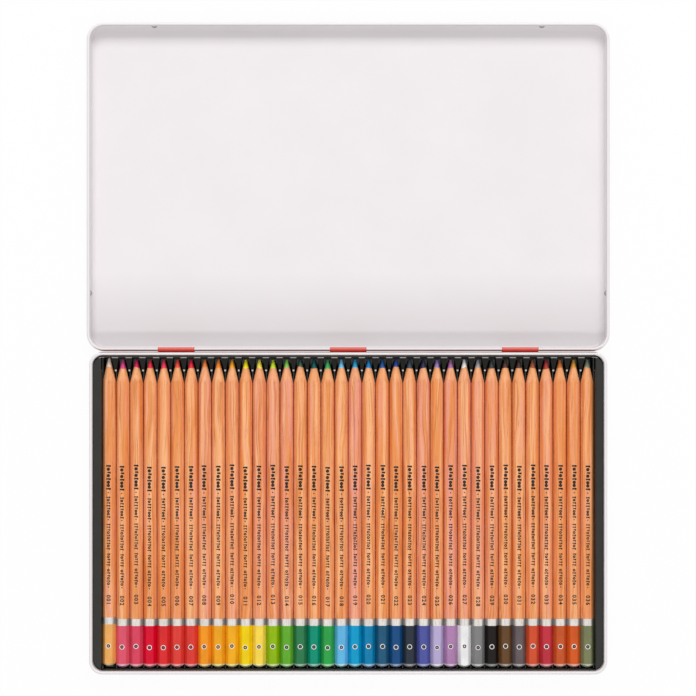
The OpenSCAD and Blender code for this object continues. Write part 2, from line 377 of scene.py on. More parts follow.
class Nodes:
    """Short way to lay out one material's nodes."""

    def __init__(self, name):
        self.material = bpy.data.materials.new(name)
        self.material.use_nodes = True
        self.tree = self.material.node_tree
        self.shader = self.tree.nodes["Principled BSDF"]
        self.place = self.add("ShaderNodeTexCoord").outputs["Object"]

    def add(self, kind, inputs=None, **settings):
        node = self.tree.nodes.new(kind)
        for key, value in settings.items():
            setattr(node, key, value)
        for key, value in (inputs or {}).items():
            if isinstance(value, bpy.types.NodeSocket):
                self.tree.links.new(value, node.inputs[key])
            else:
                node.inputs[key].default_value = value
        return node

    def stretched(self, scale, offset=(0, 0, 0)):
        inputs = {"Vector": self.place, "Scale": scale, "Location": offset}
        return self.add("ShaderNodeMapping", inputs).outputs[0]

    def noise(self, vector, scale, detail=3.0, roughness=0.55):
        inputs = {"Vector": vector, "Scale": scale, "Detail": detail, "Roughness": roughness}
        return self.add("ShaderNodeTexNoise", inputs).outputs["Fac"]

    def ramp(self, factor, stops):
        node = self.add("ShaderNodeValToRGB", {"Fac": factor})
        ramp = node.color_ramp
        while len(ramp.elements) < len(stops):
            ramp.elements.new(0.5)
        for element, (at, colour) in zip(ramp.elements, stops):
            element.position = at
            element.color = [*colour, 1] if len(colour) == 3 else colour
        return node.outputs["Color"]

    def grey(self, factor, low, high, start=0.0, end=1.0):
        return self.add("ShaderNodeMapRange", {
            "Value": factor, "From Min": start, "From Max": end, "To Min": low, "To Max": high}).outputs[0]

    def mix(self, factor, first, second, blend="MIX"):
        node = self.add("ShaderNodeMix", data_type="RGBA", blend_type=blend)
        for index, value in ((0, factor), (6, first), (7, second)):
            if isinstance(value, bpy.types.NodeSocket):
                self.tree.links.new(value, node.inputs[index])
            elif index:
                node.inputs[index].default_value = [*value, 1]
            else:
                node.inputs[index].default_value = value
        return node.outputs[2]

    def maths(self, operation, first, second=0.0):
        return self.add("ShaderNodeMath", {0: first, 1: second}, operation=operation).outputs[0]

    def parts(self):
        """The three coordinates of the place, in metres."""
        return self.add("ShaderNodeSeparateXYZ", {"Vector": self.place}).outputs[:]

    def within(self, value, middle, reach):
        """1 where a value is no further from the middle than the reach, fading out beyond it."""
        off = self.maths("ABSOLUTE", self.maths("SUBTRACT", value, middle))
        return self.grey(off, 1.0, 0.0, reach, reach * 1.3)

    def bump(self, height, strength, distance):
        node = self.add("ShaderNodeBump", {"Height": height, "Strength": strength, "Distance": distance})
        self.tree.links.new(node.outputs[0], self.shader.inputs["Normal"])

    def finish(self, **sockets):
        for key, value in sockets.items():
            socket = self.shader.inputs[key.replace("_", " ")]
            if isinstance(value, bpy.types.NodeSocket):
                self.tree.links.new(value, socket)
            else:
                socket.default_value = value
        return self.material


def stoved(n, colour):
    """Stoved lacquer with its faint orange-peel skin: its patchy colour, and the pattern of its rubbing."""
    patches = n.noise(n.place, 26.0, 4.0)
    worn = [c * 0.975 for c in colour]
    n.bump(n.noise(n.place, 900.0, 1.0), 0.05, 0.2 * MM)
    return n.mix(n.grey(patches, 0.0, 1.0, 0.35, 0.65), worn, colour), n.noise(n.place, 140.0, 2.0)


def red_tinplate(name, colour, roughness):
    """The lacquer outside the tin."""
    n = Nodes(name)
    shade, rub = stoved(n, list(colour))
    return n.finish(Base_Color=shade, Roughness=n.grey(rub, roughness - 0.05, roughness + 0.07))


def white_tinplate(colour, red, s):
    """The lacquer inside the tin, with painted shade on the sides of its rolled rims, round its dimples and
    low near the hinge, and a dark red painted shadow between the two rims at the hinge.
    """
    base_high, lid_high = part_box("tin_base")[1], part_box("tin_lid")[1]
    n = Nodes("tin_white")
    colour = list(colour)
    shade, rub = stoved(n, colour)
    across, along, up = n.parts()

    # Painted shade on both sides of each rim's bead, leaving its crest bright, and left out next to the
    # hinge.
    on_lid = n.maths("GREATER_THAN", along, SEAM_Y)
    below_rim = n.maths("SUBTRACT", n.grey(on_lid, base_high.z, HINGE.z + s.bead), up)
    rolled = n.maths("MULTIPLY", n.grey(below_rim, 1.0, 0.0, 1.9 * s.bead, 2.1 * s.bead),
                     n.grey(below_rim, 0.0, 1.0, 0.1 * s.bead, 0.9 * s.bead))
    off_seam = n.maths("ABSOLUTE", n.maths("SUBTRACT", along, SEAM_Y))
    rolled = n.maths("MULTIPLY", rolled, n.grey(off_seam, 0.0, 0.8, 3 * MM, 5 * MM))
    shade = n.mix(rolled, shade, [c * 0.72 for c in colour])

    # Painted shade low down near the hinge, fading out 44 mm onto the lid's floor.
    hinge_shade = n.maths("MULTIPLY", n.grey(along, 1.0, 0.0, HINGE.y + 8 * MM, HINGE.y + 44 * MM),
                      n.grey(up, 1.0, 0.0, HINGE.z - 3 * MM, HINGE.z - 1 * MM))
    shade = n.mix(hinge_shade, shade, [c * 0.82 for c in colour])

    # Painted shade round the crowns of the catch dimples.
    side = n.maths("ABSOLUTE", across)
    wall_x, wall_y, deep = lid_high.x - 2 * s.bead, lid_high.y - 2 * s.bead, s.dimple_height * 1.3
    at_front = n.maths("MULTIPLY", n.within(side, s.dimple_front, s.dimple_radius),
                       n.within(along, wall_y, deep))
    at_side = n.maths("MULTIPLY", n.within(side, wall_x, deep),
                      n.within(along, HINGE.y + s.dimple_side, s.dimple_radius))
    crown = n.within(up, HINGE.z - s.dimple_drop + 0.5 * MM, 0.8 * MM)
    dimple_shade = n.maths("MULTIPLY", n.maths("MAXIMUM", at_front, at_side), crown)
    shade = n.mix(dimple_shade, shade, [c * 0.4 for c in colour])

    # Painted shadow in the gap between the two rims at the hinge, dark red where the red outside would show.
    seam_shadow = n.within(along, SEAM_Y + 0.1 * MM, 0.62 * MM)
    shade = n.mix(seam_shadow, shade, [c * 0.15 for c in red])
    return n.finish(Base_Color=shade, Roughness=n.grey(rub, 0.29, 0.41))


def tray_plastic(name, colour, gloss, high, pitch, s):
    """Black formed sheet with a fine haze, scuffs along it, and painted highlights on the tooth noses and
    along the tooth roots.
    """
    n = Nodes(name)
    nose_y, nose_z = high.y - s.nose_inset, high.z - s.nose_drop
    root_y, root_z = high.y - s.root_inset, high.z
    base = list(colour)
    hazy = [c * 1.6 + 0.003 for c in base]
    haze = n.noise(n.place, 90.0, 4.0)
    shade = n.mix(n.grey(haze, 0.0, 0.6, 0.4, 0.75), base, hazy)
    scuffs = n.noise(n.stretched((6, 0.5, 6)), 300.0, 3.0)
    n.bump(n.noise(n.place, 500.0, 2.0), 0.08, 0.3 * MM)
    across, along, up = n.parts()
    # Painted highlights: pale spots on the tooth noses and pale lines along the tooth roots.
    in_row = n.within(across, 0, s.teeth_reach)
    nose = n.maths("MULTIPLY", n.within(along, nose_y, 0.4 * MM), n.within(up, nose_z, 0.4 * MM))
    painted_glints = n.mix(n.maths("MULTIPLY", nose, in_row), shade, (0.62, 0.61, 0.60))
    off_tooth = n.maths("PINGPONG", across, pitch / 2)
    root = n.maths("MULTIPLY", n.within(along, root_y, 0.22 * MM), n.within(off_tooth, 0, 1.5 * MM))
    root = n.maths("MULTIPLY", root, n.within(up, root_z, 0.3 * MM))
    painted_glints = n.mix(n.maths("MULTIPLY", root, in_row), painted_glints, (0.45, 0.44, 0.43))
    return n.finish(Base_Color=painted_glints, Roughness=n.grey(scuffs, 0.10, 0.20), IOR=1.5,
                    Specular_IOR_Level=0.5 * gloss, Coat_Weight=0.8 * gloss, Coat_Roughness=0.06)


def shade_between_pencils(n, colour, shade, axis_z, reach, shoulder_y=1.0):
    """Painted shade: darkens a colour right where two pencils meet, up to the shoulder of the cone."""
    _, along, up = n.parts()
    depth = n.grey(up, 1.0, 0.0, axis_z - 0.10 * reach, axis_z + 0.20 * reach)
    barrel = n.grey(along, 1.0, 0.0, shoulder_y - 1.5 * MM, shoulder_y)
    return n.mix(n.maths("MULTIPLY", depth, barrel), colour, shade)


def cedar_wood(colour, pitch, axis_z, reach, shoulder_y):
    """Oiled cedar: long streaks and pores, each pencil with its own tone, and painted shade where the
    pencils meet.
    """
    n = Nodes("cedar_grain")
    base = list(colour)
    number = n.maths("FLOOR", n.maths("DIVIDE", n.parts()[0], pitch))
    own = n.add("ShaderNodeTexWhiteNoise", {"W": number}, noise_dimensions="1D")
    pale = [min(1.0, base[0] * 1.12), base[1] * 1.40, base[2] * 1.75]
    pink = [base[0] * 1.00, base[1] * 1.02, base[2] * 2.20]
    amber = [base[0] * 0.98, base[1] * 0.84, base[2] * 0.60]
    deep = [base[0] * 0.70, base[1] * 0.50, base[2] * 0.36]
    tone = n.ramp(own.outputs["Value"], [
        (0.0, base), (0.22, pale), (0.42, base), (0.58, pink), (0.76, base), (1.0, amber)])
    sway = n.noise(n.stretched((1, 0.22, 1), (4, 2, 7)), 70.0, 2.0)
    offset = n.add("ShaderNodeCombineXYZ", {"X": n.grey(sway, -0.004, 0.004)}).outputs[0]
    grown = n.add("ShaderNodeVectorMath", {0: n.place, 1: offset}, operation="ADD").outputs[0]
    wide = n.add("ShaderNodeMapping", {"Vector": grown, "Scale": (13, 0.28, 13)}).outputs[0]
    slim = n.add("ShaderNodeMapping", {"Vector": grown, "Scale": (36, 0.5, 36)}).outputs[0]
    bands = n.noise(wide, 34.0, 2.0)
    streaks = n.noise(slim, 34.0, 3.0, 0.6)
    hue = n.mix(n.grey(bands, 0.0, 0.95, 0.50, 0.60), tone, pale)
    hue = n.mix(n.grey(bands, 0.95, 0.0, 0.38, 0.48), hue, amber)
    grain = n.mix(n.grey(streaks, 0.0, 0.75, 0.52, 0.66), hue, deep)
    grain = n.mix(n.grey(streaks, 0.75, 0.0, 0.34, 0.46), grain, pink)
    pores = n.noise(n.stretched((60, 2.2, 60)), 60.0, 2.0, 0.7)
    speck = n.mix(n.grey(pores, 0.0, 0.5, 0.60, 0.70), grain, [c * 0.6 for c in deep])
    cut = n.grey(n.parts()[1], 0.0, 0.45, shoulder_y - 0.5 * MM, shoulder_y + 2 * MM)
    speck = n.mix(cut, speck, pale)
    shade = shade_between_pencils(n, speck, (0.19, 0.032, 0.010), axis_z, reach, shoulder_y)
    n.bump(n.maths("ADD", streaks, pores), 0.12, 0.2 * MM)
    return n.finish(Base_Color=shade, Roughness=n.grey(streaks, 0.36, 0.5), Specular_IOR_Level=0.35)


def lacquer(number, code, end_y, axis_z, reach):
    """Thick glossy dipping lacquer in one pencil's colour, with a painted highlight over the domed end and
    painted shade where the pencils meet.
    """
    n = Nodes(f"dip_{number:02d}")
    base = [max(0.0, c - 0.015) for c in linear(code)]
    deep = [c * 0.86 for c in base]
    pale = [min(0.95, c * 1.2 + 0.45) for c in base]
    pool = n.noise(n.stretched((1, 0.4, 1)), 220.0, 2.0)
    shade = n.mix(n.grey(pool, 0.0, 1.0, 0.4, 0.7), base, deep)
    along = n.parts()[1]
    # Painted highlight: paler over the domed end.
    thin_ink_and_dome_highlight = n.mix(n.grey(along, 0.9, 0.0, end_y + 0.60 * reach, end_y + 0.82 * reach), shade, pale)
    dark = shade_between_pencils(n, thin_ink_and_dome_highlight, [c * 0.48 for c in base], axis_z, reach)
    n.bump(n.noise(n.stretched((1, 0.5, 1)), 500.0, 1.0), 0.10, 0.3 * MM)
    return n.finish(Base_Color=dark, Roughness=n.grey(pool, 0.24, 0.34), Specular_IOR_Level=0.3)


def core_wax(number, code):
    """Waxy coloured core, streaked by the sharpener."""
    n = Nodes(f"wax_{number:02d}")
    plain = linear(code)
    gain = min(1.5, 1.1 / max(plain))
    base = [c * gain for c in plain]
    dusty = [c * 0.92 for c in base]
    turns = n.noise(n.stretched((1, 3.0, 1)), 900.0, 2.0)
    shade = n.mix(n.grey(turns, 0.0, 0.7, 0.4, 0.75), base, dusty)
    n.bump(turns, 0.2, 0.2 * MM)
    return n.finish(Base_Color=shade, Roughness=0.42, Specular_IOR_Level=0.3)


def foil(axis_z, reach):
    """Silver foil with the fine creases left by rolling it on, with painted shade on its side faces and
    where the pencils meet.
    """
    n = Nodes("silver_foil")
    creases = n.noise(n.stretched((3.0, 0.3, 3.0)), 700.0, 2.0)
    shade = n.ramp(creases, [(0.32, (0.74, 0.70, 0.66)), (0.6, (0.97, 0.93, 0.88))])
    # Painted shade on the band's side faces, below its top flat.
    up = n.parts()[2]
    flank_shade = n.mix(n.grey(up, 1.0, 0.0, axis_z + 0.55 * reach, axis_z + 0.90 * reach), shade,
                  (0.42, 0.39, 0.37))
    dark = shade_between_pencils(n, flank_shade, (0.12, 0.11, 0.11), axis_z, reach)
    n.bump(creases, 0.15, 0.2 * MM)
    return n.finish(Base_Color=dark, Metallic=0.45, Roughness=n.grey(creases, 0.28, 0.42))


def printing_ink(name, colour):
    """Ink that the wood's grain shows through in places."""
    n = Nodes(name)
    base = list(colour)
    thin_ink_and_dome_highlight = n.noise(n.stretched((1, 0.4, 1)), 1500.0, 2.0)
    shade = n.mix(n.grey(thin_ink_and_dome_highlight, 0.0, 0.6, 0.5, 0.8), base, [c * 2 + 0.03 for c in base])
    return n.finish(Base_Color=shade, Roughness=n.grey(thin_ink_and_dome_highlight, 0.4, 0.6))


# ---- the tin ----


def pan_section(s, bead_z):
    """Half section of a pan from its floor outwards, round the bead and back: (outward, up) points."""
    outer_foot = s.foot + s.sheet
    foot_centre = (-s.foot, outer_foot)
    bead_centre = (s.bead, bead_z)
    curl_end = 180 + math.degrees(s.curl_open)
    inside = arc(foot_centre, s.foot, -90, 0, 6)
    over = arc(bead_centre, s.bead, 180, curl_end - 360, 26)
    under = arc(bead_centre, s.bead - s.sheet, curl_end - 360, 180, 22)
    outside = arc(foot_centre, outer_foot, 0, -90, 7)
    return inside + over + under + outside


def rounded_path(name, width, depth, corner, steps=12):
    """A closed curve round a rectangle with rounded corners."""
    bpy.ops.mesh.primitive_plane_add(size=1)
    obj = bpy.context.object
    obj.name = name
    obj.scale = (width, depth, 1)
    apply_place(obj)
    bpy.ops.object.mode_set(mode="EDIT")
    bpy.ops.mesh.select_all(action="SELECT")
    bpy.ops.mesh.bevel(offset=corner, segments=steps, affect="VERTICES", clamp_overlap=False)
    bpy.ops.mesh.select_all(action="SELECT")
    bpy.ops.mesh.delete(type="ONLY_FACE")
    leave_edit()
    bpy.ops.object.convert(target="CURVE")
    return bpy.context.object


def pan(name, node, corner, s):
    """A deep-drawn pan: its wall section is swept round the outline and the floor is filled in."""
    low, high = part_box(node)
    width = high.x - low.x - 4 * s.bead
    depth = high.y - low.y - 4 * s.bead
    section = line_object(name + "_section", [(u, z, 0) for u, z in pan_section(s, high.z - s.bead)])
    make_active(section)
    bpy.ops.object.convert(target="CURVE")
    section = bpy.context.object
    deselect_all()
    obj = rounded_path(name, width, depth, corner)
    obj.data.dimensions = "3D"
    obj.data.twist_mode = "Z_UP"
    obj.data.bevel_mode = "OBJECT"
    obj.data.bevel_object = section
    make_active(obj)
    bpy.ops.object.convert(target="MESH")
    obj = bpy.context.object
    bpy.data.objects.remove(section)
    bpy.ops.object.mode_set(mode="EDIT")
    bpy.ops.mesh.select_all(action="SELECT")
    bpy.ops.mesh.remove_doubles(threshold=1e-6)
    bpy.ops.mesh.fill_holes(sides=0)
    bpy.ops.mesh.normals_make_consistent(inside=False)
    leave_edit()
    centre = (low + high) / 2
    move_mesh(obj, Vector((centre.x, centre.y, 0)))
    return obj


def outward(point, low, high, corner, s):
    """Distance of a point outwards from a pan's inner wall."""
    centre = (low + high) / 2
    straight_x = (high.x - low.x) / 2 - 2 * s.bead - corner
    straight_y = (high.y - low.y) / 2 - 2 * s.bead - corner
    x = abs(point.x - centre.x) - straight_x
    y = abs(point.y - centre.y) - straight_y
    return math.hypot(max(x, 0), max(y, 0)) + min(max(x, y), 0) - corner


def paint_pan(obj, node, corner, s, inside, outside):
    """White lacquer on the side of the sheet that faces the pencils, red on the other."""
    low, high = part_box(node)
    bead_z = high.z - s.bead
    obj.data.materials.clear()
    obj.data.materials.append(inside)
    obj.data.materials.append(outside)
    for face in obj.data.polygons:
        u = outward(face.center, low, high, corner, s)
        across = math.hypot(u - s.bead, face.center.z - bead_z)
        if face.center.z > bead_z - s.bead and across < s.bead * 1.02 and (
                u > s.sheet * 1.1 or face.center.z > bead_z):
            red = across < s.bead - s.sheet / 2
        elif u > -s.foot * 1.01:
            foot = math.hypot(u + s.foot, face.center.z - s.foot - s.sheet)
            on_foot = face.center.z < s.foot + s.sheet
            red = foot > s.foot + s.sheet / 2 if on_foot else u > s.sheet / 2
        else:
            red = face.normal.z < 0
        face.material_index = 1 if red else 0


def ball(radius, centre):
    bpy.ops.mesh.primitive_uv_sphere_add(segments=32, ring_count=24, radius=radius, location=centre)
    obj = bpy.context.object
    apply_place(obj)
    return obj


def press_dimple(obj, wall_point, inwards, s):
    """Presses one catch dimple: a dome on the inner face and its hollow on the outer."""
    radius = (s.dimple_radius ** 2 + s.dimple_height ** 2) / (2 * s.dimple_height)
    centre = wall_point - inwards * (radius - s.dimple_height)
    dome = ball(radius, centre)
    make_active(dome)
    bpy.ops.object.mode_set(mode="EDIT")
    bpy.ops.mesh.select_all(action="SELECT")
    bpy.ops.mesh.bisect(
        plane_co=wall_point - inwards * s.sheet / 2, plane_no=inwards, clear_inner=True, use_fill=True)
    leave_edit()
    combine(obj, dome, "UNION")
    combine(obj, ball(radius - s.sheet, centre), "DIFFERENCE")


class PENCILTIN_OT_base(bpy.types.Operator):
    """Build the base of the tin"""

    bl_idname = "penciltin.base"
    bl_label = "Base"

    def execute(self, context):
        s = context.scene.pencil_tin.tin
        obj = pan("base_pan", "tin_base", s.base_corner, s)
        paint_pan(obj, "tin_base", s.base_corner, s,
                  bpy.data.materials["tin_white"], bpy.data.materials["tin_red"])
        smooth(obj)
        stand_in(obj, "base", "tin_base", slot="red_lacquer")
        return {"FINISHED"}


class PENCILTIN_OT_lid(bpy.types.Operator):
    """Build the lid with its hinge slots and catch dimples"""

    bl_idname = "penciltin.lid"
    bl_label = "Lid"

    def execute(self, context):
        s = context.scene.pencil_tin.tin
        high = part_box("tin_lid")[1]
        obj = pan("lid_pan", "tin_lid", s.lid_corner, s)
        catch_z = HINGE.z - s.dimple_drop
        wall = high.x - 2 * s.bead
        for side in (-1, 1):
            front = Vector((side * s.dimple_front, high.y - 2 * s.bead, catch_z))
            press_dimple(obj, front, Vector((0, -1, 0)), s)
            beside = Vector((side * wall, HINGE.y + s.dimple_side, catch_z))
            press_dimple(obj, beside, Vector((-side, 0, 0)), s)
        for strap in STRAPS:
            strap_low, strap_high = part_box(strap)
            middle = (strap_low.x + strap_high.x) / 2
            bpy.ops.mesh.primitive_cube_add(
                size=1, location=(middle, HINGE.y + s.bead - s.sheet / 2, HINGE.z - s.slot_height / 2))
            cutter = bpy.context.object
            cutter.scale = (s.slot_width, s.sheet * 1.1, s.slot_height)
            apply_place(cutter)
            combine(obj, cutter, "DIFFERENCE")
        paint_pan(obj, "tin_lid", s.lid_corner, s,
                  bpy.data.materials["tin_white"], bpy.data.materials["tin_red"])
        smooth(obj)
        stand_in(obj, "lid", "tin_lid", slot="white_lacquer")
        return {"FINISHED"}


class PENCILTIN_OT_straps(bpy.types.Operator):
    """Finish the three hinge straps"""

    bl_idname = "penciltin.straps"
    bl_label = "Hinge straps"

    def execute(self, context):
        for name in STRAPS:
            strap = frame["nodes"][name]
            strap.data.materials.clear()
            strap.data.materials.append(bpy.data.materials["strap_red"])
        return {"FINISHED"}


def is_tooth_root(edge, high, s):
    """True for the level edge where a tooth's sloping top begins."""
    a, b = (v.co for v in edge.verts)
    level = abs(a.z - high.z) < 0.02 * MM and abs(b.z - high.z) < 0.02 * MM
    crosswise = abs(a.y - b.y) < 0.02 * MM and abs(abs(a.x - b.x) - s.tooth_width) < 0.6 * MM
    return level and crosswise and high.y - a.y < s.tooth_depth and abs(a.x) < s.well_reach


class PENCILTIN_OT_tray(bpy.types.Operator):
    """Round off the formed tray"""

    bl_idname = "penciltin.tray"
    bl_label = "Tray"

    def execute(self, context):
        s = context.scene.pencil_tin.tray
        obj = copy_of(frame["nodes"]["pencil_tray"], "tray")
        obj.parent = None
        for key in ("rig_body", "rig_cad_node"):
            if key in obj:
                del obj[key]
        make_active(obj)
        bpy.ops.object.mode_set(mode="EDIT")
        bpy.ops.mesh.select_all(action="SELECT")
        bpy.ops.mesh.remove_doubles(threshold=2e-6)
        bpy.ops.mesh.dissolve_limited(angle_limit=math.radians(1))
        leave_edit()
        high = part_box("pencil_tray")[1]
        select_in_edit(obj, edges=lambda e: is_tooth_root(e, high, s))
        bpy.ops.mesh.bevel(offset=s.crest, segments=5, affect="EDGES", clamp_overlap=True)
        leave_edit()
        apply_modifier(obj, "BEVEL", "edges", width=s.edge, segments=3, limit_method="ANGLE",
                       angle_limit=math.radians(28), use_clamp_overlap=True)
        obj.data.materials.clear()
        obj.data.materials.append(bpy.data.materials["black_plastic"])
        obj.data.materials.append(bpy.data.materials["shaded_tooth_plastic"])
        # The teeth get the duller copy of the plastic, which paints shade on them.
        for face in obj.data.polygons:
            toothed = high.y - s.nose_inset - 1 * MM < face.center.y < high.y - s.root_inset
            face.material_index = 1 if toothed and abs(face.center.x) < s.well_reach else 0
        smooth(obj, 40)
        stand_in(obj, "tray", "pencil_tray", slot="tray_plastic")
        return {"FINISHED"}


# ---- the pencils ----


def pencil_facts(s):
    """Sizes of a pencil in its own frame, where it runs from its end at 0 along +Y."""
    low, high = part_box(PENCILS[0])
    length = high.y - low.y - s.coat
    apothem = (high.z - low.z) / 2 - s.coat
    corner = (high.x - low.x) / 2 - s.coat
    return length, apothem, corner


def pencil_blank(s):
    """The rounded hexagonal stick, turned to a dome at its end and sharpened to a blunt point."""
    length, apothem, corner = pencil_facts(s)
    sharp = apothem / math.cos(math.radians(30))
    bpy.ops.mesh.primitive_cylinder_add(
        vertices=6, radius=sharp, depth=length, location=(0, 0, length / 2),
        rotation=(0, 0, math.radians(30)))
    obj = bpy.context.object
    obj.name = "pencil_blank"
    apply_place(obj)
    obj.data.transform(Matrix.Rotation(math.radians(-90), 4, "X"))
    select_in_edit(obj, edges=lambda e: abs(e.verts[0].co.y - e.verts[1].co.y) > length / 2)
    bpy.ops.mesh.bevel(offset=s.edge * math.tan(math.radians(30)), segments=5, affect="EDGES")
    leave_edit()
    slope = (apothem - s.point) / s.cone
    wide = corner * 1.2
    dome_turn = math.degrees(math.asin(wide / s.dome)) if wide < s.dome else 89
    dome = [(s.dome * math.sin(math.radians(a)), s.dome - s.dome * math.cos(math.radians(a)))
            for a in [dome_turn * k / 12 for k in range(13)]]
    dome[0] = (0, 0)
    tip = [(wide, length - (wide - s.point) / slope), (s.point, length), (0, length)]
    combine(obj, turned("turned_shape", dome + tip, 128), "INTERSECT")
    clean(obj)
    return obj


def cut_piece(blank, name, start, end):
    """The stretch of the blank between two places along it."""
    obj = copy_of(blank, name)
    make_active(obj)
    bpy.ops.object.mode_set(mode="EDIT")
    for place, facing in ((start, -1), (end, 1)):
        if place is None:
            continue
        bpy.ops.mesh.select_all(action="SELECT")
        bpy.ops.mesh.bisect(
            plane_co=(0, place, 0), plane_no=(0, facing, 0), clear_outer=True, use_fill=True)
    leave_edit()
    return obj


def swell(obj, amount, radius):
    """Makes a piece thicker all round by scaling its section."""
    factor = (radius + amount) / radius
    obj.data.transform(Matrix.Diagonal((factor, 1, factor, 1)))


def core_tip(s):
    """The bare core: the front of the cone with its rounded point."""
    length, apothem, _ = pencil_facts(s)
    slope = (apothem - s.point) / s.cone
    under = 0.02 * MM
    back = length - s.bare_core - 3 * s.wander
    back_r = s.point + (length - back) * slope - under
    point_y = length - s.point * 0.75
    round_off = [(s.point * math.cos(math.radians(a)), point_y + s.point * 0.75 * math.sin(math.radians(a)))
                 for a in range(10, 90, 10)]
    outline = [(0, back), (back_r, back), (s.point + (length - point_y) * slope - under, point_y)]
    obj = turned("core_tip", outline + round_off + [(0, length)], 48)
    return obj


def flat_bar(across, along, place, shift, height):
    bpy.ops.mesh.primitive_plane_add(size=1, location=(shift, place, height))
    bar = bpy.context.object
    bar.scale = (across, along, 1)
    return bar


def flat_ring(outer, inner, place, height):
    bpy.ops.mesh.primitive_circle_add(
        vertices=16, radius=outer, fill_type="NGON", location=(0, place, height))
    ring = bpy.context.object
    select_in_edit(ring, faces=lambda f: True)
    bpy.ops.mesh.inset(thickness=outer - inner)
    bpy.ops.mesh.delete(type="FACE")
    leave_edit()
    return ring


def imprint_marks(s):
    """Plain bars, rings and dots along the top flat, in three rows of different weight."""
    _, apothem, _ = pencil_facts(s)
    rows = [
        # place of the first mark from the end, pitch, height, stroke, marks: I bar, O ring, T short bar
        (113.9, 1.84, 2.3, 0.90, "IOTOIOOI"),
        (96.2, 1.58, 1.9, 0.62, "IOIITOOI"),
        (80.9, 1.52, 1.9, 0.54, "IITOIOTIOI IOTII OITOIO"),
    ]
    pieces = []
    for start, pitch, tall, stroke, marks in rows:
        for k, mark in enumerate(marks):
            place = (start - k * pitch) * MM
            if mark == "O":
                pieces.append(flat_ring(tall * 0.42 * MM, (tall * 0.42 - stroke) * MM, place, apothem))
            elif mark in "IT":
                reach = tall if mark == "I" else tall * 0.6
                pieces.append(flat_bar(reach * MM, stroke * MM, place, (k % 3 - 1) * 0.12 * MM, apothem))
                pieces.append(flat_bar(stroke * MM, 1.0 * MM, place - 0.1 * MM, 0.4 * tall * MM, apothem))
    for place in (98.8, 83.6, 45.6):
        bpy.ops.mesh.primitive_circle_add(
            vertices=12, radius=0.36 * MM, fill_type="NGON", location=(0, place * MM, apothem))
        pieces.append(bpy.context.object)
    for piece in pieces:
        apply_place(piece)
    deselect_all()
    for piece in pieces:
        piece.select_set(True)
    bpy.context.view_layer.objects.active = pieces[0]
    bpy.ops.object.join()
    obj = bpy.context.object
    obj.name = "imprint_marks"
    return obj


def number_plate(number, s):
    """The pencil's number as a flat shape, read from the left of the tin."""
    _, apothem, _ = pencil_facts(s)
    bpy.ops.object.text_add(location=(0, s.number_place, apothem), rotation=(0, 0, math.radians(-90)))
    text = bpy.context.object
    text.data.body = f"{number:03d}"
    text.data.align_x = "CENTER"
    text.data.align_y = "CENTER"
    text.data.size = s.number_size
    text.data.offset = 0.1 * MM
    text.data.space_character = 1.25
    text.data.resolution_u = 3
    make_active(text)
    bpy.ops.object.convert(target="MESH")
    obj = bpy.context.object
    apply_place(obj)
    return obj


def thicken_up(obj, height):
    select_in_edit(obj, faces=lambda f: True)
    bpy.ops.mesh.extrude_region_move(TRANSFORM_OT_translate={"value": (0, 0, height)})
    leave_edit()


def end_ring(s):
    """A plain printed ring on the lacquered end: a dark band inside a pale one."""
    _, apothem, _ = pencil_facts(s)
    rings = []
    for inner, outer, lift in ((0.45, 1.05, 0.03), (1.05, 1.4, 0.02)):
        bpy.ops.mesh.primitive_circle_add(
            vertices=40, radius=outer * MM, fill_type="NGON",
            location=(0, s.ring_place, apothem + s.coat))
        obj = bpy.context.object
        apply_place(obj)
        select_in_edit(obj, faces=lambda f: True)
        bpy.ops.mesh.inset(thickness=(outer - inner) * MM)
        bpy.ops.mesh.delete(type="FACE")
        bpy.ops.mesh.select_all(action="SELECT")
        bpy.ops.mesh.extrude_region_move(TRANSFORM_OT_translate={"value": (0, 0, lift * MM)})
        leave_edit()
        rings.append(obj)
    rings[0].data.materials.append(bpy.data.materials["print_dark"])
    rings[1].data.materials.append(bpy.data.materials["print_pale"])
    deselect_all()
    for ring in rings:
        ring.select_set(True)
    bpy.context.view_layer.objects.active = rings[0]
    bpy.ops.object.join()
    obj = bpy.context.object
    obj.name = "end_ring"
    return obj


def wander_edge(obj, s, dice):
    """Lets the edge where wood meets core wander along the cone, differently on each pencil."""
    length, apothem, _ = pencil_facts(s)
    slope = (apothem - s.point) / s.cone
    rim_y = length - s.bare_core
    turn, turn2 = dice.uniform(0, math.tau), dice.uniform(0, math.tau)
    lean, ripple = dice.uniform(0.2, 1.0) * s.wander, dice.uniform(0.1, 0.4) * s.wander
    shift = dice.uniform(-0.8, 0.8) * s.wander
    for vertex in obj.data.vertices:
        if abs(vertex.co.y - rim_y) < 1e-6:
            radius = math.hypot(vertex.co.x, vertex.co.z)
            if radius < s.point:
                continue
            angle = math.atan2(vertex.co.z, vertex.co.x)
            along = shift + lean * math.cos(angle + turn) + ripple * math.cos(3 * angle + turn2)
            vertex.co.y += along
            grown = (radius - along * slope) / radius
            vertex.co.x *= grown
            vertex.co.z *= grown


